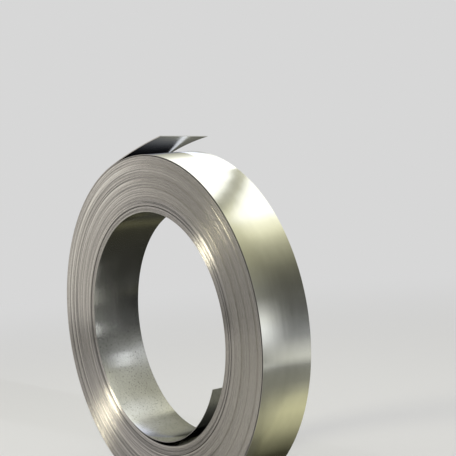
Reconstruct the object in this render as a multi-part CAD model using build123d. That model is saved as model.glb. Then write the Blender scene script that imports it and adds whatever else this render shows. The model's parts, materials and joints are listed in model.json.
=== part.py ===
from build123d import *
from math import atan2, cos, degrees, radians, sin
import os

# Coil of slit steel strip, standing on its rim. Millimetres, +Z up, coil axis along Y, front end towards -Y.
# Angles are seen from the front, anticlockwise from +X. The strip runs clockwise as it goes outwards.

# The strip and the winding
strip_width = 122.0
strip_thickness = 1.5
turns = 81
bore_diameter = 508.0

# Turns that belong to each free end: they lie flush, inside and outside the stepped groups
wrap_turns = 2

# Groups of turns that slid a little along the axis, from the bore outwards:
# how many turns, their shift along Y, and how far the seam beyond them stands open
turn_groups = [
    (7, 0.3, 1.5),
    (4, -0.5, 1.5),
    (8, 0.4, 0.0),
    (12, -0.3, 0.0),
    (5, 0.8, 0.0),
    (12, -0.1, 0.0),
    (7, 0.5, 0.0),
    (10, -0.8, 0.0),
    (6, 0.2, 0.0),
    (5, -0.4, 1.5),
]
open_seam_depth = 30.0

# Loose inner end: where it lifts off the bore wall, how far it has sprung in, how far round it reaches,
# and how far past the lift the crevice behind it starts
inner_lift_angle = -138.0
inner_spring = 20.0
inner_end_sweep = 113.0
inner_crevice_start = 13.0

# Free outer end: where it lifts off the rim, its length, the bend radius left in it,
# and how far past the lift the crevice under it starts
outer_lift_angle = 109.5
outer_end_length = 217.0
outer_end_bend_radius = 1450.0
outer_crevice_start = 28.0

coil_axis = (0.0, 0.0)
half_turn = 180.0
half_width = strip_width / 2
half_thickness = strip_thickness / 2
bore_radius = bore_diameter / 2
wrap_thickness = wrap_turns * strip_thickness


def point(radius, angle, centre=coil_axis):
    """The point at a distance and an angle from a centre, on the coil's end."""
    return (centre[0] + radius * cos(radians(angle)), centre[1] + radius * sin(radians(angle)))


def angle_of(target, centre=coil_axis):
    """The angle at which a point is seen from a centre."""
    return degrees(atan2(target[1] - centre[1], target[0] - centre[0]))


def arc(centre, radius, start, end):
    """An arc about a centre from one angle to another."""
    middle = point(radius, (start + end) / 2, centre)
    return ThreePointArc(point(radius, start, centre), middle, point(radius, end, centre))


def end_face(edges):
    """The face inside a closed outline, set upright in the middle of the coil's width."""
    return Plane.XZ * make_face(edges)


def across_the_width(face):
    """An upright face carried across the whole width of the strip."""
    return extrude(face, amount=half_width, both=True)


def stepped_groups():
    """Inner radius, outer radius, shift and open seam of each group, and the radius where the outer wrap starts."""
    left = turns - 2 * wrap_turns
    radius = bore_radius + wrap_thickness
    groups = []
    for number, (count, shift, seam) in enumerate(turn_groups, start=1):
        # The last group takes all the turns that are left
        count = left if number == len(turn_groups) else min(count, left)
        if count > 0:
            groups.append((radius, radius + count * strip_thickness, shift, seam))
            radius += count * strip_thickness + seam
            left -= count
    return groups, radius


def stepped_body(groups):
    """The turned body between the end wraps, with a step at each group and a groove at each open seam."""
    front = []
    back = []
    for inner, outer, shift, seam in groups:
        front += [(inner, shift - half_width), (outer, shift - half_width)]
        back += [(inner, shift + half_width), (outer, shift + half_width)]
        if seam > 0:
            groove_floor = half_width - open_seam_depth
            front += [(outer, -groove_floor), (outer + seam, -groove_floor)]
            back += [(outer, groove_floor), (outer + seam, groove_floor)]
    profile = make_face(Polyline(*front, *reversed(back), close=True))
    return revolve(profile, axis=Axis.Y)


def half_turns(radius, start, end):
    """One clockwise turn from a radius to a strip's thickness further out, as two half turns.

    The second half turn has its own centre, so it meets the first one smoothly. It stops at the end angle.
    """
    far_side = start - half_turn
    second_centre = point(half_thickness, start)
    first = arc(coil_axis, radius, start, far_side)
    second = arc(second_centre, radius + half_thickness, far_side, end)
    return first, second, point(radius + half_thickness, end, second_centre)


def inner_wrap():
    """The innermost turns, from the bore wall outwards, with the loose end that springs into the bore."""
    lift = inner_lift_angle
    end_centre = point(inner_spring, lift)
    inside = bore_radius - inner_spring
    outside = inside + strip_thickness
    tip = lift + inner_end_sweep

    wall_end = lift + inner_crevice_start - 2 * half_turn
    first, second, crevice_wall = half_turns(bore_radius, lift, wall_end)
    crevice = angle_of(crevice_wall, end_centre)
    hole = end_face([
        first,
        second,
        Line(crevice_wall, point(outside, crevice, end_centre)),
        arc(end_centre, outside, crevice, tip),
        Line(point(outside, tip, end_centre), point(inside, tip, end_centre)),
        arc(end_centre, inside, tip, lift),
    ])
    disc = Plane.XZ * Circle(bore_radius + wrap_thickness)
    return across_the_width(disc - hole)


def outer_wrap(inner_radius):
    """The outermost turns, with the free end that stands off the rim."""
    lift = outer_lift_angle
    rim = inner_radius + wrap_thickness
    under = rim - strip_thickness
    end_centre = point(rim - outer_end_bend_radius, lift)
    end_inside = outer_end_bend_radius - strip_thickness
    tip = lift - degrees(outer_end_length / outer_end_bend_radius)
    crevice = lift - degrees(outer_crevice_start / outer_end_bend_radius)

    crevice_strip = point(end_inside, crevice, end_centre)
    rim_start = angle_of(crevice_strip)
    far_side = lift - half_turn
    second_centre = point(half_thickness, lift)
    outline = end_face([
        arc(coil_axis, under, rim_start, far_side),
        arc(second_centre, under + half_thickness, far_side, lift - 2 * half_turn),
        arc(end_centre, outer_end_bend_radius, lift, tip),
        Line(point(outer_end_bend_radius, tip, end_centre), point(end_inside, tip, end_centre)),
        arc(end_centre, end_inside, tip, crevice),
        Line(crevice_strip, point(under, rim_start)),
    ])
    disc = Plane.XZ * Circle(inner_radius)
    return across_the_width(outline - disc)


def strip_coil():
    """The whole coil as one piece of strip, resting on the floor with the origin under its middle."""
    groups, outer_wrap_radius = stepped_groups()
    coil = inner_wrap() + stepped_body(groups) + outer_wrap(outer_wrap_radius)
    box = coil.bounding_box()
    return Pos(-box.center().X, -box.center().Y, -box.min.Z) * coil


os.makedirs("parts", exist_ok=True)
export_step(strip_coil(), "parts/strip_coil.step")
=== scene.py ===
# %% [markdown]
# # A coil of slit steel strip
#
# A slitting line cuts a wide sheet into narrow strips and winds each one tightly round a drum.
# What comes off the drum is this coil: one strip, about 160 m long, wound on itself some eighty times.
# Its two ends are free. The inner one has sprung away from the bore, and the outer one stands off the rim.
#
# The measured model already gives the size and the place of the coil as a solid.
# This notebook winds the real strip in that same space, gives it its finishes, and lights it.

# %% Load the measured model
import json

import bpy
import numpy as np
from mathutils import Matrix, Vector


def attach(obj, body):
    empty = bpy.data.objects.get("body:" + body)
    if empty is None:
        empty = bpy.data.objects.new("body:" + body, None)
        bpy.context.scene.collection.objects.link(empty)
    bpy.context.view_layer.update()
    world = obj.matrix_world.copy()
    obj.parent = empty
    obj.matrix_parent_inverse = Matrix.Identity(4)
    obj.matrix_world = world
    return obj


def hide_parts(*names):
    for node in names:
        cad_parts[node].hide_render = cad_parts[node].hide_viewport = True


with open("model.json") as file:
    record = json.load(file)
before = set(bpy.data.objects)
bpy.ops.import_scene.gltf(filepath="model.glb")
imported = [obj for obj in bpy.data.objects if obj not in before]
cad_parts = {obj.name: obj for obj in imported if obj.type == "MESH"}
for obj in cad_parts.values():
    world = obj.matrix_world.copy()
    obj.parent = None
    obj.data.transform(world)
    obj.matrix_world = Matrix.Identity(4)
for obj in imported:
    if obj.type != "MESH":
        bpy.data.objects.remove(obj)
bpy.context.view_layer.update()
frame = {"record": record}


# %% [markdown]
# ## Where the winding sits
#
# Places could be typed in again, but a place that is read from the model can't drift away from it.
# The model states a seat inside the bore: the middle, the radius and the width of the loose inner end.
# The loose end has sprung in from the bore wall by the difference of the two radii, towards the angle
# where it lifts off. Going back by that much gives the axis of the coil.
# Angles are seen from the front, in degrees, anticlockwise from the right.

# %% Axis, radii and width
bore_radius = 0.254
inner_lift = -138.0

seat = next(mount for mount in frame["record"]["mounts"] if mount["name"] == "bore_seat")
strip_width = seat["dims"]["length_mm"] / 1000
loose_radius = seat["dims"]["r_mm"] / 1000
loose_centre = np.array([seat["pos_m"][0], seat["pos_m"][2]])


def polar(radius, angle, centre):
    """Points at a distance and an angle from a centre: x = radius cos(angle), z = radius sin(angle)."""
    turned = np.radians(angle)
    return centre + np.stack([radius * np.cos(turned), radius * np.sin(turned)], axis=-1)


coil_axis = loose_centre - polar(bore_radius - loose_radius, inner_lift, np.zeros(2))
axis_x, axis_z = (float(place) for place in coil_axis)
print("coil axis at x, z:", coil_axis.round(5), "strip width:", strip_width)

# %% [markdown]
# ## The path of the strip
#
# A perfect spiral gains the same radius at every degree. A wound strip doesn't quite do that:
# it lies flat on the turn below, and climbs one thickness where it runs over the end of the strip.
# So the gain is put into half of each turn, and the coil stays round at its foot, where it rests.
#
# Two things disturb an otherwise tight winding, and both show on the end of the coil.
# Here and there a seam stands open, where the strip was slack for a moment.
# And groups of turns have slid along the axis, which leaves the fine steps and lines on the end.

# %% The wound turns
thickness = 0.0015
rim_radius = 0.380
outer_lift = 109.5
whole_turns = 79
steps_per_turn = 144
seam_gap = 0.0015
seams_after_turn = (7.3, 11.8, 77.4)

part_turn = (inner_lift - outer_lift) % 360 / 360
turns = whole_turns + part_turn
cycle_start = 1 - part_turn


def ease(x):
    """A smooth step: 0 below 0, 1 above 1, and 3x^2 - 2x^3 between them."""
    x = np.clip(x, 0, 1)
    return x * x * (3 - 2 * x)


def layers_gained(cycle):
    """Whole cycles, plus (1 + cos(360 x)) / 2 of a layer in the second half of the present one."""
    whole, part = np.divmod(cycle, 1.0)
    return whole + np.where(part > 0.5, (1 + np.cos(2 * np.pi * part)) / 2, 0.0)


def seams_opened(turn):
    """The radius that open seams have added so far: each one opens smoothly over a turn."""
    return sum(seam_gap * ease(turn - start) for start in seams_after_turn)


wound_layers = layers_gained(cycle_start + turns) - layers_gained(cycle_start)
wound_growth = rim_radius - thickness - bore_radius - seam_gap * len(seams_after_turn)
pitch = wound_growth / wound_layers

turn = np.arange(round(turns * steps_per_turn) + 1) / steps_per_turn
wound_radius = bore_radius + pitch * (layers_gained(cycle_start + turn) - layers_gained(cycle_start))
wound_radius += seams_opened(turn)
wound_angle = inner_lift - 360 * turn
print("turns:", turns, "pitch in mm:", round(pitch * 1000, 4), "last radius:", wound_radius[-1] + thickness)

# %% [markdown]
# ## The two free ends
#
# Steel strip keeps some of the bend of the drum, so a free end springs to an arc of its own radius.
# Each end is an arc whose middle lies on the line through the axis and the place where it lifts off.
# There the arc and the winding share a direction, so the strip leaves the coil without a kink.

# %% The free ends, and the whole path
loose_sweep = 113.0
tail_length = 0.217
tail_bend_radius = 1.450

step = 360 / steps_per_turn
loose_angle = inner_lift + loose_sweep - np.linspace(0, loose_sweep, round(loose_sweep / step) + 1)[:-1]
tail_centre = polar(rim_radius - tail_bend_radius, outer_lift, coil_axis)
tail_sweep = np.degrees(tail_length / tail_bend_radius)
tail_steps = 24
tail_angle = outer_lift - np.linspace(0, tail_sweep, tail_steps + 1)[1:]

face = np.concatenate([
    polar(loose_radius, loose_angle, loose_centre),
    polar(wound_radius, wound_angle, coil_axis),
    polar(tail_bend_radius - thickness, tail_angle, tail_centre),
])
outward = np.concatenate([polar(1.0, angle, np.zeros(2)) for angle in (loose_angle, wound_angle, tail_angle)])
steps_between = np.linalg.norm(np.diff(face, axis=0), axis=1)
run = np.concatenate([[0.0], np.cumsum(steps_between)])
turn_number = np.concatenate([
    -np.arange(len(loose_angle), 0, -1) / steps_per_turn,
    turn,
    turns + np.arange(1, tail_steps + 1) / steps_per_turn,
])
print("stations:", len(face), "strip length in m:", round(run[-1], 1))

# %% [markdown]
# ## Turns that slid along the axis
#
# The groups and their shifts are those of the solid. Inside a group no two turns lie quite level either,
# so a small wander is added: a few seeded values per turn, joined by straight lines.
# It fades out at both ends, because the free ends and the turns next to them lie flush.

# %% Shift along the axis
# How many turns, and their shift in millimetres
groups = (
    (2, 0.0), (7, 0.3), (4, -0.5), (8, 0.4), (12, -0.3), (5, 0.8),
    (12, -0.1), (7, 0.5), (10, -0.8), (6, 0.2), (5, -0.4), (2, 0.0),
)
flush_turns = 2
slide_share = 0.2
wander_per_turn = 2
wander = 0.00022
largest_shift = 0.0008

group_start = np.cumsum([0] + [count for count, _ in groups])[:-1]
shift = np.zeros(len(run))
shift_before = 0.0
for start, (count, group_shift) in zip(group_start, groups):
    shift += (group_shift - shift_before) / 1000 * ease((turn_number - start) / slide_share)
    shift_before = group_shift

rng = np.random.default_rng(7)
knots = np.arange(-1, turns + 2, 1 / wander_per_turn)
wander_at = rng.uniform(-wander, wander, len(knots))
flush = ease(turn_number / flush_turns) * ease((turns - turn_number) / flush_turns)
shift = np.clip(shift + flush * np.interp(turn_number, knots, wander_at), -largest_shift, largest_shift)
print("shift along the axis in mm:", (shift.min() * 1000).round(2), "to", (shift.max() * 1000).round(2))

# %% [markdown]
# ## The section of the strip
#
# Slitting knives leave an edge that isn't square. On one side the metal is drawn in and rounded,
# and on the other it ends in a sharp burr. The roundings are small, but there are eighty of them
# side by side on the end of the coil, and they make the bright fan of light that a wound coil shows.
# So they are real surfaces here. The section has eight corners, and it is carried along the whole path.
#
# No two turns were cut quite alike. How far the drawn side slopes wanders along the strip, and some turns
# were rubbed flat on their burr side when the coil was handled. The slope decides which turns catch a lamp.
#
# The free outer end has a slight twist as well, which lets its back corner hang a little.

# %% Section and rings
drawn_in = 0.00082
drawn_down = 0.00075
drawn_varies = (0.7, 1.35)
drawn_per_turn = 3
burr_in = 0.00005
burr_down = 0.00004
rubbed_in = 0.00040
rubbed_down = 0.00050
tail_twist = 0.0075
# Turns, and how far they were rubbed, from 0 to 1
rubbed_turns = (
    (0.0, 0.5), (3.5, 0.7), (5.0, 1.0), (8.0, 0.8), (11.0, 1.0), (16.0, 1.0), (18.5, 0.0), (24.2, 0.0),
    (24.6, 0.5), (25.0, 0.0), (49.5, 0.0), (50.0, 0.4), (50.5, 0.0), (57.0, 0.0), (57.4, 0.3), (57.8, 0.0),
    (76.4, 0.0), (76.9, 0.4), (77.4, 0.0),
)

drawn_knots = np.arange(-1, turns + 2, 1 / drawn_per_turn)
drawn = np.interp(turn_number, drawn_knots, rng.uniform(*drawn_varies, len(drawn_knots)))
rubbed = np.interp(turn_number, *np.transpose(rubbed_turns))
round_in = burr_in + rubbed * (rubbed_in - burr_in)
round_down = burr_down + rubbed * (rubbed_down - burr_down)
slope_in = drawn_in * drawn
none = np.zeros(len(face))
half = none + strip_width / 2
across = np.stack([
    slope_in - half, -half, -half, round_in - half,
    half - round_in, half, half, half - slope_in,
], axis=-1)
through = np.stack([
    none, none + drawn_down, thickness - round_down, none + thickness,
    none + thickness, thickness - round_down, none + drawn_down, none,
], axis=-1)
past_lift = np.maximum(run - run[-1] + tail_length, 0.0) / tail_length
sag = tail_twist * past_lift ** 2

rings = np.empty((*across.shape, 3))
rings[..., 0] = face[:, None, 0] + outward[:, None, 0] * through
rings[..., 1] = shift[:, None] + across
rings[..., 2] = face[:, None, 1] + outward[:, None, 1] * through
rings[..., 2] -= sag[:, None] * (0.5 + across / strip_width)

# %% [markdown]
# ## From rings to a closed mesh
#
# Neighbouring rings are joined by bands of four-sided faces, and the first and last ring are the cut ends.
# The strip also gets its own coordinates: u runs along its length and v round its section, both in metres.
# A pattern on them follows the steel round every turn, as rolling marks do.

# %% Skin the rings
def closed_bar(name, rings):
    """A mesh of bands between neighbouring rings, with a cap on the first and the last ring."""
    stations, corners, _ = rings.shape
    here = np.arange(stations * corners).reshape(stations, corners)
    beside = np.roll(here, -1, axis=1)
    quads = np.stack([here[:-1], here[1:], beside[1:], beside[:-1]], axis=-1).reshape(-1, 4)
    faces = quads.tolist() + [here[0].tolist(), here[-1, ::-1].tolist()]
    mesh = bpy.data.meshes.new(name)
    mesh.from_pydata(rings.reshape(-1, 3), [], faces, shade_flat=False)
    return mesh


def add_coordinates(mesh, rings, along):
    """Gives each corner of each face its place along the strip and its way round the section."""
    stations, corners, _ = rings.shape
    sides = np.linalg.norm(np.diff(rings[0], axis=0, append=rings[0, :1]), axis=1)
    round_section = np.concatenate([[0.0], np.cumsum(sides)])
    u = np.broadcast_to(along[:, None], (stations, corners))
    v_here = np.broadcast_to(round_section[:-1], (stations, corners))
    v_beside = np.broadcast_to(round_section[1:], (stations, corners))
    quad_u = np.stack([u[:-1], u[1:], u[1:], u[:-1]], axis=-1)
    quad_v = np.stack([v_here[:-1], v_here[1:], v_beside[1:], v_beside[:-1]], axis=-1)
    uv = np.stack([quad_u, quad_v], axis=-1).reshape(-1, 2)
    cap_uv = [np.stack([u[0], v_here[0]], axis=-1), np.stack([u[-1], v_here[-1]], axis=-1)[::-1]]
    layer = mesh.uv_layers.new(name="along_strip")
    layer.uv.foreach_set("vector", np.concatenate([uv, *cap_uv]).astype(np.float32).ravel())


strip_mesh = closed_bar("coiled_strip", rings)
add_coordinates(strip_mesh, rings, run)
strip = bpy.data.objects.new("coiled_strip", strip_mesh)
bpy.context.scene.collection.objects.link(strip)
triangles = sum(len(polygon.vertices) - 2 for polygon in strip_mesh.polygons)
print("faces:", len(strip_mesh.polygons), "triangles:", triangles)

# %% [markdown]
# ## Finishes and sharp lines
#
# Bands 3 and 7 of the eight are the wide faces, and the others belong to the sheared edges.
# The four lines where a wide face meets its edge are sharp, so the light breaks there as on cut metal.
# So is the line beside the burr, except on the turns that were rubbed round.
# Each point also keeps the number of its turn, so that a material can change from turn to turn.

# %% Finishes, sharp lines and turn numbers
wide_bands = (3, 7)
sharp_corners = (0, 3, 4, 7)
burr_corners = (2, 5)
least_rubbed = 0.1
WIDE, EDGE, CUT = 0, 1, 2

stations, corners, _ = rings.shape


def assign_finishes(mesh):
    """Numbers the material of each face: the bands of all stations, and then the two caps."""
    band = np.tile(np.arange(corners), stations - 1)
    finish = np.where(np.isin(band, wide_bands), WIDE, EDGE)
    mesh.polygons.foreach_set("material_index", np.append(finish, [CUT, CUT]).astype(np.int32))


def mark_sharp_lines(mesh, crisp):
    """Marks the lines beside the wide faces, the burrs where they are crisp, and the outlines of both caps."""
    ends = np.empty(len(mesh.edges) * 2, np.int32)
    mesh.edges.foreach_get("vertices", ends)
    station, corner = np.divmod(ends.reshape(-1, 2), corners)
    lengthwise = station[:, 0] != station[:, 1]
    at_burr = np.isin(corner[:, 0], burr_corners) & crisp[station[:, 0]]
    lengthwise &= np.isin(corner[:, 0], sharp_corners) | at_burr
    at_cut = (station[:, 0] == station[:, 1]) & np.isin(station[:, 0], (0, stations - 1))
    sharp = mesh.attributes.new("sharp_edge", "BOOLEAN", "EDGE")
    sharp.data.foreach_set("value", lengthwise | at_cut)
    print("sharp edges:", np.count_nonzero(lengthwise | at_cut), "of", len(mesh.edges))


assign_finishes(strip_mesh)
mark_sharp_lines(strip_mesh, rubbed < least_rubbed)
turn_value = strip_mesh.attributes.new("turn", "FLOAT", "POINT")
turn_value.data.foreach_set("value", np.repeat(turn_number, corners).astype(np.float32))
strip_mesh.update()

# %% [markdown]
# ## Small helpers for materials
#
# A material is a graph of nodes. Wiring it by hand takes many lines, so a few helpers do the usual jobs:
# they add a node and fill its sockets, work out a number, map a range or blend two colours.
# One builds a strip pattern, which is noise on the strip's own coordinates, stretched along its length.
# Such noise hardly ever leaves the middle of its scale, and that range is mapped onto what is wanted.

# %% Node helpers
noise_range = (0.3, 0.7)
# In a Mix node the sockets for colours come after those for numbers and vectors
colour_inputs = slice(6, 8)
colour_output = 2


def fill(tree, socket, value):
    """Sets a socket to a value, or links it to the output socket of another node."""
    if isinstance(value, bpy.types.NodeSocket):
        tree.links.new(value, socket)
    else:
        socket.default_value = value


def add_node(tree, kind, settings=(), **sockets):
    """Adds a node, sets its own options, and fills its sockets by name, with _ for a space."""
    made = tree.nodes.new("ShaderNode" + kind)
    for option, value in dict(settings).items():
        setattr(made, option, value)
    for socket_name, value in sockets.items():
        fill(tree, made.inputs[socket_name.replace("_", " ")], value)
    return made


def calculate(tree, operation, *values, kind="Math"):
    """A number that the graph works out from numbers, vectors and the outputs of other nodes."""
    made = add_node(tree, kind, {"operation": operation})
    for socket, value in zip(made.inputs, values):
        fill(tree, socket, value)
    return made.outputs["Value"]


def new_material(name):
    """A material with an empty graph."""
    made = bpy.data.materials.new(name)
    made.use_nodes = True
    made.node_tree.nodes.clear()
    return made, made.node_tree


def strip_noise(tree, along, across, detail=3.0):
    """Noise with a grain of so many waves a metre along the strip and across it."""
    place = add_node(tree, "UVMap", {"uv_map": "along_strip"})
    stretched = add_node(tree, "Mapping", Vector=place.outputs["UV"], Scale=(along, across, 1.0))
    noise = add_node(tree, "TexNoise", {"noise_dimensions": "2D"},
                     Vector=stretched.outputs["Vector"], Scale=1.0, Detail=detail)
    return noise.outputs["Fac"]


def spread(tree, value, low, high, to_low=0.0, to_high=1.0):
    """Maps a value from one range onto another, and holds it at both ends."""
    mapped = add_node(tree, "MapRange", Value=value, From_Min=low, From_Max=high,
                      To_Min=to_low, To_Max=to_high)
    return mapped.outputs["Result"]


def blend_colours(tree, amount, first, second):
    """The first colour where the amount is 0, the second where it is 1."""
    mix = add_node(tree, "Mix", {"data_type": "RGBA"}, Factor=amount)
    for socket, colour in zip(mix.inputs[colour_inputs], (first, second)):
        fill(tree, socket, (*colour, 1.0) if isinstance(colour, tuple) else colour)
    return mix.outputs[colour_output]


def mix_shaders(tree, amount, first, second):
    """The first shader where the amount is 0, the second where it is 1."""
    mix = add_node(tree, "MixShader", Fac=amount)
    tree.links.new(first, mix.inputs[1])
    tree.links.new(second, mix.inputs[2])
    return mix.outputs["Shader"]


# %% [markdown]
# ## The wide faces: zinc-coated strip, satin from the rolls
#
# The face of the strip is smooth but not polished. Temper rolls leave a grain along the strip,
# and the zinc has faint clouds, so its gloss changes from place to place.
# The innermost turn, which lay on the drum, also has a scatter of small dark specks.
# Grains are given in waves a metre along the strip and across it.

# %% Satin face
streak_grain = (3.0, 900.0)
cloud_grain = (9.0, 22.0)
cloud_detail = 4.0
zinc_colours = ((0.58, 0.58, 0.53), (0.64, 0.64, 0.59))
zinc_roughness = (0.12, 0.132)
streak_roughness = (-0.012, 0.012)
grain_strength = 0.05
grain_depth = 0.0002
speck_grain = (240.0, 300.0)
speck_threshold = (0.65, 0.69)
speck_colour = (0.16, 0.16, 0.14)
specks_end_at_turn = (0.9, 1.0)
speck_strength = 0.8


def satin_face():
    """Metal whose colour and gloss vary with streaks along the strip, soft clouds and a few dark specks."""
    made, tree = new_material("satin_strip_face")
    streaks = strip_noise(tree, *streak_grain)
    clouds = strip_noise(tree, *cloud_grain, detail=cloud_detail)
    metal = blend_colours(tree, spread(tree, clouds, *noise_range), *zinc_colours)
    turn_at = add_node(tree, "Attribute", {"attribute_name": "turn"}).outputs["Fac"]
    innermost = spread(tree, turn_at, *specks_end_at_turn, speck_strength, 0.0)
    scatter = spread(tree, strip_noise(tree, *speck_grain), *speck_threshold)
    specks = calculate(tree, "MULTIPLY", scatter, innermost)
    roughness = calculate(tree, "ADD", spread(tree, clouds, *noise_range, *zinc_roughness),
                          spread(tree, streaks, *noise_range, *streak_roughness))
    grain = add_node(tree, "Bump", Height=streaks, Strength=grain_strength, Distance=grain_depth)
    shader = add_node(tree, "BsdfPrincipled", Base_Color=blend_colours(tree, specks, metal, speck_colour),
                      Metallic=1.0, Roughness=roughness, Normal=grain.outputs["Normal"])
    add_node(tree, "OutputMaterial", Surface=shader.outputs["BSDF"])
    return made


strip_mesh.materials.append(satin_face())
print("zinc roughness between", zinc_roughness, "with streaks of", streak_roughness)

# %% [markdown]
# ## The sheared edges
#
# The edge was torn as much as cut, so it is rougher and darker than the face, with a faint mauve cast.
# The tear runs along the strip, so the edge scatters light across itself much more than along itself.
# That is an anisotropic gloss. Its direction is read from the strip's own coordinates, turned by a quarter.
# The end of the coil is lighter towards its top and its lower right,
# and darker near the bore and at its lower left.
# On its left side some turns are painted brighter or darker than their neighbours: painted streaks of sheen,
# as where turns of slightly different slope catch the light.

# %% Sheared edge
edge_colours = ((0.40, 0.37, 0.35), (0.58, 0.55, 0.51))
edge_roughness = 0.27
edge_anisotropy = 0.86
quarter_turn = 0.25
tones_per_turn = 0.7
tone_detail = 4.0
tear_grain = (60.0, 4000.0)
tear_share = 0.3
# Direction, start and end in metres from the middle of the coil, and the factor at the end
tone_drifts = (
    ((-0.34, 0.0, 0.94), 0.0, 0.38, 1.4),
    ((0.5, 0.0, -0.87), 0.2, 0.31, 1.15),
    ((-0.34, 0.0, -0.94), 0.27, 0.32, 0.85),
)
duller_turns = (17.0, 21.0)
duller_by = 0.86
# Painted streaks of sheen on the left side: some turns are made lighter or darker than their neighbours
sheen_streaks_towards = (-0.95, 0.0, -0.31)
sheen_streaks_between = (-0.15, -0.02)
sheen_streaks_by = 0.6
sheen_streaks_per_turn = 0.65
sheen_streaks_per_metre = 2.0
sheen_streaks_detail = 3.0


def distance_towards(tree, direction):
    """How far a place lies from the middle of the coil in one direction, in metres."""
    place = add_node(tree, "TexCoord").outputs["Object"]
    towards = calculate(tree, "DOT_PRODUCT", place, direction, kind="VectorMath")
    return calculate(tree, "SUBTRACT", towards, direction[2] * axis_z)


def painted_sheen_streaks(tree, turn_at):
    """A factor about 1 that changes every few turns and slowly round each, on the left side: painted streaks
    of sheen.
    """
    place = add_node(tree, "TexCoord").outputs["Object"]
    apart = add_node(tree, "SeparateXYZ", Vector=place)
    joined = add_node(tree, "CombineXYZ", X=turn_at, Y=apart.outputs["X"], Z=apart.outputs["Z"])
    scaled = add_node(tree, "Mapping", Vector=joined.outputs["Vector"],
                      Scale=(sheen_streaks_per_turn, sheen_streaks_per_metre, sheen_streaks_per_metre))
    marks = add_node(tree, "TexNoise", Vector=scaled.outputs["Vector"], Scale=1.0, Detail=sheen_streaks_detail)
    both_ways = spread(tree, marks.outputs["Fac"], *noise_range, -1.0, 1.0)
    strength = spread(tree, distance_towards(tree, sheen_streaks_towards), *sheen_streaks_between, 0.0, sheen_streaks_by)
    return calculate(tree, "MULTIPLY_ADD", both_ways, strength, 1.0)


def edge_tone(tree, turn_at):
    """A tone from 0 to 1 that changes from turn to turn, and a little with each tear."""
    by_turn = add_node(tree, "TexNoise", {"noise_dimensions": "1D"}, W=turn_at, Scale=tones_per_turn,
                       Detail=tone_detail)
    tear = strip_noise(tree, *tear_grain)
    return calculate(tree, "ADD", spread(tree, by_turn.outputs["Fac"], *noise_range, 0.0, 1.0 - tear_share),
                     spread(tree, tear, *noise_range, 0.0, tear_share))


def sheared_edge():
    """Rough metal whose tone changes a little from turn to turn, and drifts across the coil."""
    made, tree = new_material("sheared_strip_edge")
    turn_at = add_node(tree, "Attribute", {"attribute_name": "turn"}).outputs["Fac"]
    metal = blend_colours(tree, edge_tone(tree, turn_at), *edge_colours)
    gain = spread(tree, turn_at, *duller_turns, duller_by, 1.0)
    for towards, start, end, factor in tone_drifts:
        drift = spread(tree, distance_towards(tree, towards), start, end, 1.0, factor)
        gain = calculate(tree, "MULTIPLY", gain, drift)
    # Painted streaks of sheen, on the left side of the end
    gain = calculate(tree, "MULTIPLY", gain, painted_sheen_streaks(tree, turn_at))
    colour = add_node(tree, "VectorMath", {"operation": "SCALE"}, Vector=metal, Scale=gain)
    lay = add_node(tree, "Tangent", {"direction_type": "UV_MAP", "uv_map": "along_strip"})
    shader = add_node(tree, "BsdfPrincipled", Base_Color=colour.outputs["Vector"], Metallic=1.0,
                      Roughness=edge_roughness, Anisotropic=edge_anisotropy,
                      Anisotropic_Rotation=quarter_turn, Tangent=lay.outputs["Tangent"])
    add_node(tree, "OutputMaterial", Surface=shader.outputs["BSDF"])
    return made


strip_mesh.materials.append(sheared_edge())
print("edge roughness:", edge_roughness, "tone drifts:", len(tone_drifts))

# %% [markdown]
# ## The cut ends
#
# A shear cut the strip off at both ends, and left two narrow faces of bare steel.
# They are pale and too rough to mirror anything, so one plain colour is enough.

# %% Cut end
bare_steel = (0.70, 0.70, 0.67, 1.0)
cut_roughness = 0.5


def cut_end():
    """Bare steel, fresh from the shear."""
    made, tree = new_material("fresh_cut_end")
    shader = add_node(tree, "BsdfPrincipled", Base_Color=bare_steel, Roughness=cut_roughness)
    add_node(tree, "OutputMaterial", Surface=shader.outputs["BSDF"])
    return made


strip_mesh.materials.append(cut_end())
print("materials:", [material.name for material in strip_mesh.materials])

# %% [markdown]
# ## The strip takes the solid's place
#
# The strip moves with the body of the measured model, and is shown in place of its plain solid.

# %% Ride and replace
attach(strip, "root")
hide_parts("strip_coil")
print("the strip now stands in for the solid")

# %% [markdown]
# ## Floor and surround
#
# A pale floor and an even pale surround keep the eye on the coil. Further out the floor turns into
# the tone of the surround, so that no horizon shows.

# %% Floor and surround
surround_tone = 0.68
floor_colour = (0.72, 0.72, 0.71, 1.0)
floor_roughness = 0.9
floor_half = 30.0
fade_start = 1.0
fade_end = 4.5

floor_corners = [(-floor_half, -floor_half, 0), (floor_half, -floor_half, 0),
                 (floor_half, floor_half, 0), (-floor_half, floor_half, 0)]
floor_mesh = bpy.data.meshes.new("floor")
floor_mesh.from_pydata(floor_corners, [], [(0, 1, 2, 3)])
floor = bpy.data.objects.new("floor", floor_mesh)
bpy.context.scene.collection.objects.link(floor)


def pale_floor():
    """A dull floor that turns into the tone of the surround."""
    made, tree = new_material("pale_floor")
    place = add_node(tree, "TexCoord").outputs["Object"]
    distance = calculate(tree, "LENGTH", place, kind="VectorMath")
    far = add_node(tree, "MapRange", {"interpolation_type": "SMOOTHSTEP"}, Value=distance,
                   From_Min=fade_start, From_Max=fade_end)
    near_floor = add_node(tree, "BsdfPrincipled", Base_Color=floor_colour, Roughness=floor_roughness)
    far_floor = add_node(tree, "Emission", Color=(surround_tone, surround_tone, surround_tone, 1.0))
    surface = mix_shaders(tree, far.outputs["Result"], near_floor.outputs["BSDF"],
                          far_floor.outputs["Emission"])
    add_node(tree, "OutputMaterial", Surface=surface)
    return made


floor_mesh.materials.append(pale_floor())

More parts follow.
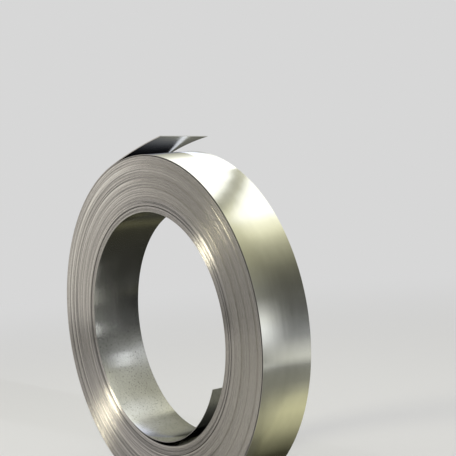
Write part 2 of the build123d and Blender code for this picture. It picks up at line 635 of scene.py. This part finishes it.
world = bpy.data.worlds.new("pale_surround")
world.use_nodes = True
surround = world.node_tree.nodes["Background"]
surround.inputs["Color"].default_value = (1.0, 1.0, 1.0, 1.0)
surround.inputs["Strength"].default_value = surround_tone
bpy.context.scene.world = world
print("the floor fades between", fade_start, "and", fade_end, "metres from the coil")

# %% [markdown]
# ## Lamps
#
# Metal has no look of its own: it shows what stands around it. So the lamp in front is placed by
# its reflection, the bright fan on the end of the coil. The lamp overhead is meant for the floor,
# and the steel doesn't mirror it.

# %% Lamps
overhead_at = (0.0, 0.3, 3.0)
overhead_aim = (0.0, 0.3, 0.0)
overhead_side = 2.4
overhead_radiance = 1.2
front_at = (-0.66, -6.82, 4.51)
front_side = 2.0
front_radiance = 13.5
front_colour = (1.0, 0.97, 0.78)


def softbox(name, at, aim, side, radiance, colour=(1.0, 1.0, 1.0)):
    """A square soft lamp that faces a point. Its power is pi x side x side x radiance."""
    light = bpy.data.lights.new(name, "AREA")
    light.size = side
    light.energy = np.pi * side * side * radiance
    light.color = colour
    lamp = bpy.data.objects.new(name, light)
    bpy.context.scene.collection.objects.link(lamp)
    lamp.location = at
    lamp.rotation_euler = (Vector(at) - Vector(aim)).to_track_quat("Z", "Y").to_euler()
    lamp.visible_camera = False
    print(name, "of", round(light.energy), "watts")
    return lamp


overhead = softbox("overhead_lamp", overhead_at, overhead_aim, overhead_side, overhead_radiance)
overhead.visible_glossy = False
softbox("front_lamp", front_at, (axis_x, 0.0, axis_z), front_side, front_radiance, front_colour)

# %% [markdown]
# ## Cards
#
# Studio metal is shaped with cards. A card here is a flat sheet that only reflections can see,
# and it is graded, as lit paper is. Its tones are given as stops of a place, a tone and a share of blue.
# Less blue is a warmer grey, and the green follows the blue by an eighth.

# %% Card helpers
green_without_blue = 0.8875
green_per_blue = 0.125


def ramp_of(tree, value, stops):
    """A colour ramp through stops of (place from 0 to 1, tone, share of blue)."""
    ramp = add_node(tree, "ValToRGB", Fac=value)
    elements = ramp.color_ramp.elements
    for number, (place, tone, blue) in enumerate(stops):
        element = elements[number] if number < 2 else elements.new(place)
        element.position = place
        green = green_without_blue + green_per_blue * blue
        element.color = (tone, tone * green, tone * blue, 1.0)
    return ramp.outputs["Color"]


def card(name, corners, faces, colour_of, at=(0.0, 0.0, 0.0), one_sided=False):
    """A sheet that shows only in reflections. Its colour is worked out from its own coordinates.

    A one-sided card glows on the side that its faces point to, and its back lets everything through.
    """
    mesh = bpy.data.meshes.new(name)
    mesh.from_pydata(corners, [], faces)
    made = bpy.data.objects.new(name, mesh)
    made.location = at
    bpy.context.scene.collection.objects.link(made)
    finish, tree = new_material(name)
    place = add_node(tree, "TexCoord").outputs["Object"]
    own = add_node(tree, "SeparateXYZ", Vector=place)
    surface = add_node(tree, "Emission", Color=colour_of(tree, own.outputs)).outputs["Emission"]
    if one_sided:
        back = add_node(tree, "NewGeometry").outputs["Backfacing"]
        clear = add_node(tree, "BsdfTransparent").outputs["BSDF"]
        surface = mix_shaders(tree, back, surface, clear)
    add_node(tree, "OutputMaterial", Surface=surface)
    mesh.materials.append(finish)
    made.visible_camera = False
    made.visible_diffuse = False
    made.visible_shadow = False
    made.visible_transmission = False
    return made


def graded(stops, axis):
    """A colour that follows stops of (place in metres, tone, share of blue) along one axis."""
    first, last = stops[0][0], stops[-1][0]
    shares = [((place - first) / (last - first), *tone) for place, *tone in stops]
    return lambda tree, own: ramp_of(tree, spread(tree, own[axis], first, last), shares)


def straight_card(name, corners, stops, axis="X"):
    """A card of one face, graded along an axis."""
    print(name, "with", len(corners), "corners and", len(stops), "stops")
    return card(name, corners, [tuple(range(len(corners)))], graded(stops, axis))


# %% [markdown]
# ### Ring-shaped cards
#
# Both the rim and the bore throw the view backwards and away from the axis, so on an upright plane behind
# the coil each of them mirrors a ring about the axis: the bore a narrow one, the rim a wide one.
# So ring-shaped cards stand there, graded round the axis. Their stops start with an angle in degrees.

# %% Ring-shaped cards
ring_depth = 0.5
ring_steps = 60
foot_angle = -90.0

rim_near_stops = [
    (-22, 0.45, 0.95), (-18, 0.9, 0.95), (-12, 0.66, 1.0), (-7, 0.33, 1.05), (-1, 0.19, 1.05),
    (4, 0.12, 1.0), (9, 0.12, 0.95), (15, 0.135, 0.9), (20, 0.125, 0.85), (25, 0.155, 0.8),
    (30, 0.22, 0.75), (36, 0.4, 0.72), (41, 0.58, 0.72), (46, 0.85, 0.72), (51, 1.3, 0.74),
    (57, 1.62, 0.8), (62, 2.0, 0.95), (125, 2.0, 1.0), (129, 1.7, 1.2), (143, 1.1, 1.3),
    (150, 0.8, 1.3), (158, 0.3, 1.2),
]
rim_far_stops = [
    (-22, 0.4, 0.95), (-18, 0.34, 0.95), (-12, 0.65, 1.0), (-7, 1.25, 1.05), (-1, 1.6, 1.05),
    (4, 1.45, 1.0), (9, 0.85, 1.0), (15, 0.36, 0.92), (20, 0.34, 0.88), (25, 0.37, 0.8),
    (31, 0.39, 0.75), (36, 0.44, 0.7), (41, 0.48, 0.68), (47, 0.61, 0.66), (52, 0.72, 0.66),
    (57, 0.84, 0.66), (70, 1.05, 0.7), (78, 1.5, 0.9), (84, 2.0, 1.0), (125, 2.0, 1.0), (132, 1.6, 1.0),
    (143, 0.9, 0.97), (148, 0.36, 0.95),
]
bore_near_stops = [
    (-40, 0.03, 1.0), (-25, 0.035, 1.0), (-13, 0.065, 1.02), (-2, 0.08, 1.03), (9, 0.16, 1.02),
    (20, 0.3, 1.03), (32, 0.66, 1.08), (44, 0.62, 1.04), (55, 0.52, 0.95), (66, 0.45, 0.9),
    (77, 0.46, 0.87), (88, 0.5, 0.85), (98, 0.6, 0.85), (109, 0.7, 0.83), (117, 0.82, 0.83),
    (124, 0.98, 0.78), (130, 0.24, 0.75), (141, 0.25, 0.73), (151, 0.26, 0.73), (160, 0.24, 0.75),
    (168, 0.09, 1.0), (178, 0.05, 1.1),
]
bore_far_stops = [
    (-40, 0.1, 1.0), (-25, 0.15, 1.0), (-13, 0.17, 1.02), (-2, 0.18, 1.02), (9, 0.18, 1.02),
    (20, 0.21, 1.02), (32, 0.18, 1.03), (44, 0.3, 0.98), (55, 0.6, 0.93), (66, 0.62, 0.92),
    (77, 0.62, 0.9), (88, 0.68, 0.92), (98, 0.85, 1.0), (109, 0.98, 1.0), (120, 0.8, 0.95),
    (130, 0.45, 0.9), (141, 0.5, 0.9), (151, 0.42, 0.85), (162, 0.42, 0.83), (172, 0.3, 0.85),
    (178, 0.15, 0.9),
]
gloom_stops = [
    (180, 0.06, 0.8), (200, 0.055, 0.75), (214, 0.11, 0.6), (226, 0.06, 0.75), (262, 0.05, 0.9),
]


def angle_about_axis(tree, own):
    """The angle in radians, from -pi at the foot, up the right side, to pi."""
    leftward = calculate(tree, "MULTIPLY", own["X"], -1.0)
    return calculate(tree, "ARCTAN2", leftward, own["Z"])


def ring_card(name, radii, angles, near_stops, far_stops, blend):
    """Part of a ring about the coil's axis.

    The stops give tones by angle, for its side near the axis and for its far side.
    The blend gives the two radii between which the one turns into the other.
    """
    steps = np.linspace(*angles, ring_steps + 1)
    circles = [polar(radius, steps, np.zeros(2)) for radius in radii]
    corners = [(x, 0.0, z) for x, z in np.concatenate(circles)]
    count = len(steps)
    faces = [(i, i + 1, count + i + 1, count + i) for i in range(count - 1)]
    near, far = ([((angle - foot_angle) / 360, *tone) for angle, *tone in stops]
                 for stops in (near_stops, far_stops))

    def colour_of(tree, own):
        """The tones for the angle and the radius of a place on the card."""
        share = spread(tree, angle_about_axis(tree, own), -np.pi, np.pi)
        flat = add_node(tree, "CombineXYZ", X=own["X"], Y=own["Z"])
        radius = calculate(tree, "LENGTH", flat.outputs["Vector"], kind="VectorMath")
        outwards = spread(tree, radius, *blend)
        return blend_colours(tree, outwards, ramp_of(tree, share, near), ramp_of(tree, share, far))

    print(name, "from", angles[0], "to", angles[1], "degrees")
    return card(name, corners, faces, colour_of, (axis_x, ring_depth, axis_z))


ring_card("rim_card", radii=(0.80, 1.30), angles=(-22.0, 178.0),
          near_stops=rim_near_stops, far_stops=rim_far_stops, blend=(1.03, 1.12))
# The bore card is darkest at both ends, near the foot: painted shade, the ground in the coil's shadow as the
# bore mirrors it
ring_card("bore_card", radii=(0.25, 0.80), angles=(-40.0, 178.0),
          near_stops=bore_near_stops, far_stops=bore_far_stops, blend=(0.52, 0.69))
ring_card("dark_card", radii=(0.25, 1.30), angles=(178.0, 320.0),
          near_stops=gloom_stops, far_stops=gloom_stops, blend=(0.5, 1.0))

# %% [markdown]
# ### Small upright cards
#
# Three small cards stand just in front of the rings. One is a bright sheet with a darker crease, for the
# top of the rim. The other two are bright spots, for the wall of the bore and for its lip.

# %% Small upright cards
small_card_depth = 0.49
crease_at = (0.155, small_card_depth, 1.325)
crease_tilt = -20.0

crease_outline = [
    (-0.315, -0.06), (-0.1, -0.04), (0.05, -0.044), (0.15, -0.066), (0.25, -0.09), (0.33, -0.13),
    (0.33, 0.08), (-0.113, 0.042), (-0.2, 0.018), (-0.315, 0.01),
]
crease_stops = [
    (-0.13, 1.4, 0.7), (-0.06, 1.0, 0.7), (-0.03, 0.7, 0.74), (-0.005, 0.5, 0.78), (0.02, 0.5, 0.8),
    (0.04, 0.65, 0.85), (0.08, 1.5, 0.95),
]
bore_spot_outline = [(0.45, 0.65), (0.54, 0.69), (0.44, 0.84), (0.36, 0.79)]
bore_spot_stops = [(0.36, 0.8, 1.05), (0.42, 1.25, 1.08), (0.48, 1.25, 1.1), (0.54, 0.7, 1.1)]
bore_lip_outline = [(0.745, 0.28), (0.80, 0.28), (0.80, 0.45), (0.745, 0.45)]
bore_lip_stops = [(0.745, 3.6, 1.05), (0.80, 4.4, 1.05)]


def upright(outline, depth=small_card_depth):
    """The corners of a card that stands upright across the view along Y."""
    return [(x, depth, z) for x, z in outline]


crease = straight_card("crease_card", upright(crease_outline, 0.0), crease_stops, "Z")
crease.location = crease_at
crease.rotation_euler = (0.0, np.radians(crease_tilt), 0.0)
straight_card("bore_spot_card", upright(bore_spot_outline), bore_spot_stops)
straight_card("bore_lip_card", upright(bore_lip_outline), bore_lip_stops)

# %% [markdown]
# ### Level cards
#
# The lowest part of the rim and of the bore mirror the floor behind the coil, which gets four cards. Their
# dark parts are painted shadow: the floor in the shade of the coil, as the metal mirrors it.
# Three of them lie side by side, share their long edges and shape the lower rim from front to back.

# %% Level cards
above_floor = 0.004
rim_line_end = (1.25, 0.56)
front_line = [
    (0.24, 0.035), (0.34, 0.08), (0.42, 0.12), (0.52, 0.172), (0.62, 0.225), (0.78, 0.30), (0.90, 0.38),
]
middle_line = [
    (0.24, 0.05), (0.34, 0.09), (0.42, 0.145), (0.52, 0.215), (0.60, 0.285), (0.72, 0.34), (0.90, 0.42),
]


def level(outline):
    """The corners of a card that lies just above the floor."""
    return [(x, y, above_floor) for x, y in outline]


# The dark parts of these three cards are painted shadow of the coil on the floor
straight_card("rim_floor_card", level([
    *middle_line, rim_line_end, (1.25, 0.86), (0.90, 0.58), (0.62, 0.42), (0.30, 0.26), (0.20, 0.16),
]), [
    (0.26, 0.06, 0.6), (0.32, 0.27, 0.62), (0.38, 0.58, 0.62), (0.46, 0.82, 0.62), (0.54, 0.72, 0.66),
    (0.60, 0.5, 0.75), (0.68, 0.32, 0.85), (0.80, 0.29, 0.88), (0.93, 0.29, 0.95), (1.02, 0.8, 1.0),
    (1.25, 0.95, 1.0),
])
straight_card("rim_middle_floor_card", level([*front_line, rim_line_end, *reversed(middle_line)]), [
    (0.26, 0.05, 0.6), (0.34, 0.24, 0.62), (0.38, 0.44, 0.63), (0.42, 0.56, 0.64), (0.47, 0.6, 0.66),
    (0.52, 0.52, 0.68), (0.59, 0.4, 0.75), (0.68, 0.3, 0.85), (0.90, 0.29, 0.9), (1.02, 0.8, 1.0),
    (1.25, 0.95, 1.0),
])
straight_card("rim_front_floor_card", level([
    (0.24, 0.0), (0.48, 0.03), (0.90, 0.28), *reversed(front_line),
]), [
    (0.24, 0.06, 0.7), (0.31, 0.15, 0.7), (0.34, 0.2, 0.68), (0.38, 0.35, 0.66), (0.43, 0.43, 0.66),
    (0.47, 0.43, 0.68), (0.52, 0.37, 0.72), (0.59, 0.3, 0.8), (0.67, 0.27, 0.88), (0.90, 0.25, 0.9),
])
# Painted shadow: the floor behind the coil in its shade, dark in the bore's reflection
straight_card("bore_floor_card", level([
    (-2.2, 0.11), (-0.2, 0.19), (0.0, 0.252), (0.19, 0.296), (0.32, 0.36), (0.52, 0.45), (0.62, 0.50),
    (-2.2, 0.50),
]), [
    (-0.9, 0.1, 0.6), (-0.55, 0.11, 0.6), (-0.42, 0.055, 0.7), (-0.3, 0.046, 0.76), (-0.1, 0.04, 0.85),
    (0.08, 0.045, 0.9), (0.2, 0.06, 0.95), (0.35, 0.07, 0.95), (0.60, 0.08, 1.0),
])

# %% [markdown]
# ### A horizon in front
#
# The edges of the turns face forwards, so they mirror what stands low down in front of the coil.
# Two dull cards far off take the place of the things that stand round a yard.

# %% Horizon cards
horizon_height = 0.75
horizon_left = (-4.0, -0.5)
horizon_corner = (-3.2, -2.4)
horizon_right = (1.5, -4.5)
horizon_stops = [(0.0, 0.2, 0.93), (horizon_height, 0.27, 0.93)]


def standing(left, right):
    """The corners of a card that stands on the floor between two points."""
    return [(*left, 0.0), (*right, 0.0), (*right, horizon_height), (*left, horizon_height)]


straight_card("front_horizon_card", standing(horizon_left, horizon_corner), horizon_stops, "Z")
straight_card("front_horizon_card_right", standing(horizon_corner, horizon_right), horizon_stops, "Z")

# %% [markdown]
# ### Slivers of card
#
# Two places are too narrow for cards behind the coil. Below the free outer end the light bounces between the
# strip and the rim until nothing is left of it, and so it does behind the loose inner end.
# A photographer tucks a sliver of card in there. Each of these two lies a millimetre or so off the steel,
# glows only on the side that faces the dark gap, and is graded so that the gap still ends in shadow.

# %% Slivers of card
below_tail = 0.001
tail_stops = [
    (-0.07, 0.005, 1.4), (-0.056, 0.016, 1.4), (-0.042, 0.06, 1.35), (-0.027, 0.19, 1.25),
    (-0.014, 0.36, 1.0), (0.0, 0.54, 0.82), (0.017, 0.75, 0.85), (0.033, 1.1, 0.9), (0.05, 1.7, 0.95),
    (0.09, 2.0, 1.0),
]
off_wall = 0.0015
wall_sliver_start = -28.0
wall_sliver_end = -64.0
wall_sliver_rows = 13
wall_sliver_half_width = 0.058
wall_stops = [
    (0.150, 0.01, 0.9), (0.165, 0.02, 0.9), (0.180, 0.04, 0.9), (0.196, 0.08, 0.9), (0.212, 0.18, 0.85),
    (0.26, 0.2, 0.9),
]


def sliver(name, front_edge, back_edge, stops, axis):
    """A one-sided card between two rows of points that run clockwise. It glows towards the coil's axis."""
    rows = len(front_edge)
    corners = np.concatenate([front_edge, back_edge]).tolist()
    faces = [(i, rows + i, rows + i + 1, i + 1) for i in range(rows - 1)]
    print(name, "with", len(faces), "faces")
    return card(name, corners, faces, graded(stops, axis), one_sided=True)


# The first and the last corner of the section lie on the strip's inner face
lowered = below_tail * np.stack([outward[:, 0], none, outward[:, 1]], axis=-1)[-tail_steps:]
sliver("tail_sliver", rings[-tail_steps:, 0] - lowered, rings[-tail_steps:, -1] - lowered, tail_stops, "X")

wall_angles = np.linspace(wall_sliver_start, wall_sliver_end, wall_sliver_rows)
wall = polar(bore_radius - off_wall, wall_angles, coil_axis)
front_edge = np.insert(wall, 1, -wall_sliver_half_width, axis=1)
back_edge = np.insert(wall, 1, wall_sliver_half_width, axis=1)
sliver("loose_end_sliver", front_edge, back_edge, wall_stops, "Z")

# %% [markdown]
# ## Camera
#
# The camera stands to the right of the coil and in front of it, a little higher than its middle.
# Its place and turn come from matching the rims and the bore of the solid to the picture.

# %% Camera
camera_at = (2.4225, -1.6196, 0.7511)
camera_right = Vector((0.593, 0.8013, -0.0783))
camera_forward = Vector((-0.8052, 0.5902, -0.0577))
focal_length_mm = 105.4
sensor_mm = 36.0

camera_data = bpy.data.cameras.new("camera")
camera_data.sensor_width = sensor_mm
camera_data.lens = focal_length_mm
camera = bpy.data.objects.new("camera", camera_data)
bpy.context.scene.collection.objects.link(camera)
back = -camera_forward.normalized()
side = (camera_right - camera_right.dot(back) * back).normalized()
up = back.cross(side)
turned = Matrix((side, up, back)).transposed().to_4x4()
camera.matrix_world = Matrix.Translation(camera_at) @ turned
bpy.context.scene.camera = camera

bpy.context.scene.view_settings.view_transform = "Standard"
print("camera at", camera_at, "with a lens of", focal_length_mm, "mm")
